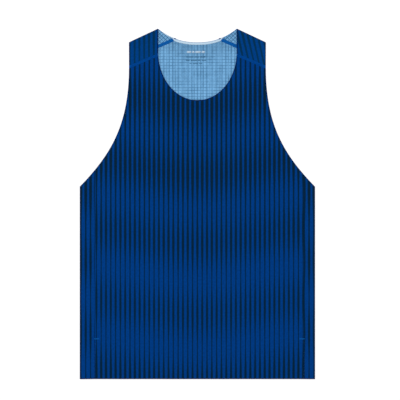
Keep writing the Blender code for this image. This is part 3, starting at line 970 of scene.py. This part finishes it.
def makeNeckTape():
    form = bmesh.new()
    bmesh.ops.create_grid(
        form, x_segments=neckTape["cellsAlong"], y_segments=neckTape["cellsAcross"], size=0.5)
    laneMap = form.loops.layers.uv.new("cut")
    first, reach = neckTape["rightEnd"], neckTape["leftEnd"] - neckTape["rightEnd"]
    for face in form.faces:
        for loop in face.loops:
            loop[laneMap].uv = ((loop.vert.co.x + 0.5) * reach, 0.5 - loop.vert.co.y)
    for vert in form.verts:
        vert.co = neckTapeAt(first + (vert.co.x + 0.5) * reach, 0.5 - vert.co.y)
    thicken(form, neckTape["wall"])
    pitch, stitch, rise = neckTape["stitchPitch"], neckTape["stitch"], neckTape["stitchRise"]
    for share in (tapeKnit["split"], neckTape["laneRow"]):
        for step in range(int(reach / pitch) - 1):
            x = first + (step + 0.5) * pitch
            start, end = neckTapeAt(x, share, rise), neckTapeAt(x + stitch, share, rise)
            sewThread(form, start, end, neckTape["stitchRadius"], material=1)
    for side in (-1, 1):
        for step in range(seamEndThreads["count"]):
            x = side * (seamEndThreads["first"] + seamEndThreads["pitch"] * step)
            start, end = (neckTapeAt(x, *seamEndThreads[key]) for key in ("outer", "inner"))
            sewThread(form, start, end, seamEndThreads["radius"], material=2)
    return newPiece("neck_tape_sewn", form, (neckTapeKnit, tapeThread, tapeEndThread))


sewnNeckTape = makeNeckTape()
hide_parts("back_neck_tape")
sewing["back"].append(sewnNeckTape)
print("singlet: neck tape sewn")

barTack = {
    "length": 0.0100, "width": 0.0021, "height": 0.0805,
    "lap": 0.0008,  # how far it reaches past the side seam
    "pitch": 0.00045, "radius": 0.00030, "rise": 0.00002,
}


def makeBarTack(name, seamX, inward):
    form = bmesh.new()
    for step in range(round(barTack["length"] / barTack["pitch"])):
        x = seamX + inward * (step * barTack["pitch"] - barTack["lap"])
        ends = []
        for way in (-1, 1):
            height = barTack["height"] + way * barTack["width"] / 2
            ends.append(Vector((x, height - length / 2, upperFace(x, height) + barTack["rise"])))
        sewThread(form, *ends, barTack["radius"])
    return newPiece(name, form, (backThread,))


sewing["front"].append(makeBarTack("vent_bar_tack_left", singlet["leftSeam"], -1))
sewing["front"].append(makeBarTack("vent_bar_tack_right", -singlet["rightSeam"], 1))

# The mark inside the back neck: plain blocks and dashes, where a size would be given
neckMark = {
    "film": 0.00004,
    "middle": -0.003,
    "blocks": (0.6535, 0.0040, (9, 5, 11, 7)),  # height, how tall, and each one's width in millimetres
    "dashes": (
        (0.6434, 0.0016, (15, 9, 12)),
        (0.6368, 0.0016, (8, 13, 6, 9)),
        (0.6302, 0.0014, (5, 11, 7)),
    ),
    "gap": 0.0015,
    "rounding": 0.4,  # share of how tall one is
}


def makeNeckMark(name, rows, ink):
    form = bmesh.new()
    film, gap = neckMark["film"], neckMark["gap"]
    for height, tall, millimetres in rows:
        widths = [width / 1000 for width in millimetres]
        x = neckMark["middle"] - (sum(widths) + gap * (len(widths) - 1)) / 2
        for width in widths:
            matrix = Matrix.Translation((x + width / 2, height - length / 2, inside + film))
            matrix @= Matrix.Diagonal((width, tall, 1, 1))
            made = bmesh.ops.create_grid(form, x_segments=1, y_segments=1, size=0.5, matrix=matrix)
            bmesh.ops.bevel(
                form, geom=made["verts"], offset=neckMark["rounding"] * tall, affect="VERTICES",
                segments=3, profile=0.5, material=-1)
            x += width + gap
    bmesh.ops.solidify(form, geom=form.faces[:], thickness=film)
    return newPiece(name, form, (ink,))


sewing["back"].append(makeNeckMark("neck_mark_blocks", (neckMark["blocks"],), paleInk))
sewing["back"].append(makeNeckMark("neck_mark_dashes", neckMark["dashes"], darkInk))
print("singlet: tacks and neck mark made")

for piece, node, size, under, trims in (
        (front, "front_panel", frontSize, back, sewing["front"]),
        (back, "back_panel", backSize, "light_table_floor", sewing["back"]),
        (leftYoke, "yoke_left", leftYokeSize, back, []),
        (rightYoke, "yoke_right", rightYokeSize, back, [])):
    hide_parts(node)
    flat, area = size
    print(f"singlet: {piece.name} is {flat[0]:.4f} by {flat[1]:.4f} m flat, {area:.4f} square metres")
    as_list(trims)


# Floor, light and camera
studio = {
    "floorSize": 30,
    "floorDrop": 0.00005,
    "floorGlow": 0.70,
    "dome": 0.50,
    "key": 49,
    "keySize": 2.6,
    "keyPlace": (-0.6, 0.8, 2.9),
    "view": 0.7981,  # how much the camera sees across, at the upper layer
    "middle": (0.0052, 0.0076),
    "lens": 85,
    "sensor": 36,
}


def makeFloor():
    # Opal acrylic over a light table: it glows evenly, so what lies on it throws hardly any shadow
    tree = newMaterial("opalAcrylicLightTable", {
        "Roughness": 0.9, "IOR": 1.49, "Specular IOR Level": 0.2,
        "Emission Color": linear("#ffffff"), "Emission Strength": studio["floorGlow"]})
    spot = addNode(tree, "TexCoord").node.outputs["Object"]
    tooth = addNode(tree, "TexNoise", {"Vector": spot, "Scale": 700, "Detail": 2})  # 1.4 mm
    colour = addNode(
        tree, "Mix", {0: tooth, 6: linear("#b1b1b1"), 7: linear("#b5b5b5")}, data_type="RGBA")
    tree.links.new(colour, tree.nodes["Principled BSDF"].inputs["Base Color"])
    form = bmesh.new()
    bmesh.ops.create_grid(form, x_segments=1, y_segments=1, size=studio["floorSize"] / 2)
    for vert in form.verts:
        vert.co.z = -studio["floorDrop"]
    opal = bpy.data.materials["opalAcrylicLightTable"]
    newObject("light_table_floor", form, (opal,))


def makeLight():
    key = bpy.data.lights.new("softbox", "AREA")
    key.energy = studio["key"]
    key.size = studio["keySize"]
    lamp = bpy.data.objects.new("softbox", key)
    lamp.location = studio["keyPlace"]
    lamp.rotation_mode = "QUATERNION"
    lamp.rotation_quaternion = (-lamp.location).to_track_quat("-Z", "Y")
    bpy.context.scene.collection.objects.link(lamp)
    world = bpy.data.worlds.new("studio")
    world.use_nodes = True
    dome = world.node_tree.nodes["Background"]
    dome.inputs["Color"].default_value = linear("#ffffff")
    dome.inputs["Strength"].default_value = studio["dome"]
    bpy.context.scene.world = world
    bpy.context.scene.view_settings.view_transform = "Standard"


def makeCamera():
    lens = bpy.data.cameras.new("camera")
    lens.lens = studio["lens"]
    lens.sensor_width = studio["sensor"]
    camera = bpy.data.objects.new("camera", lens)
    camera.location = (*studio["middle"], top + studio["view"] * studio["lens"] / studio["sensor"])
    bpy.context.scene.collection.objects.link(camera)
    bpy.context.scene.camera = camera


makeFloor()
makeLight()
makeCamera()
print("singlet: floor, light and camera placed")
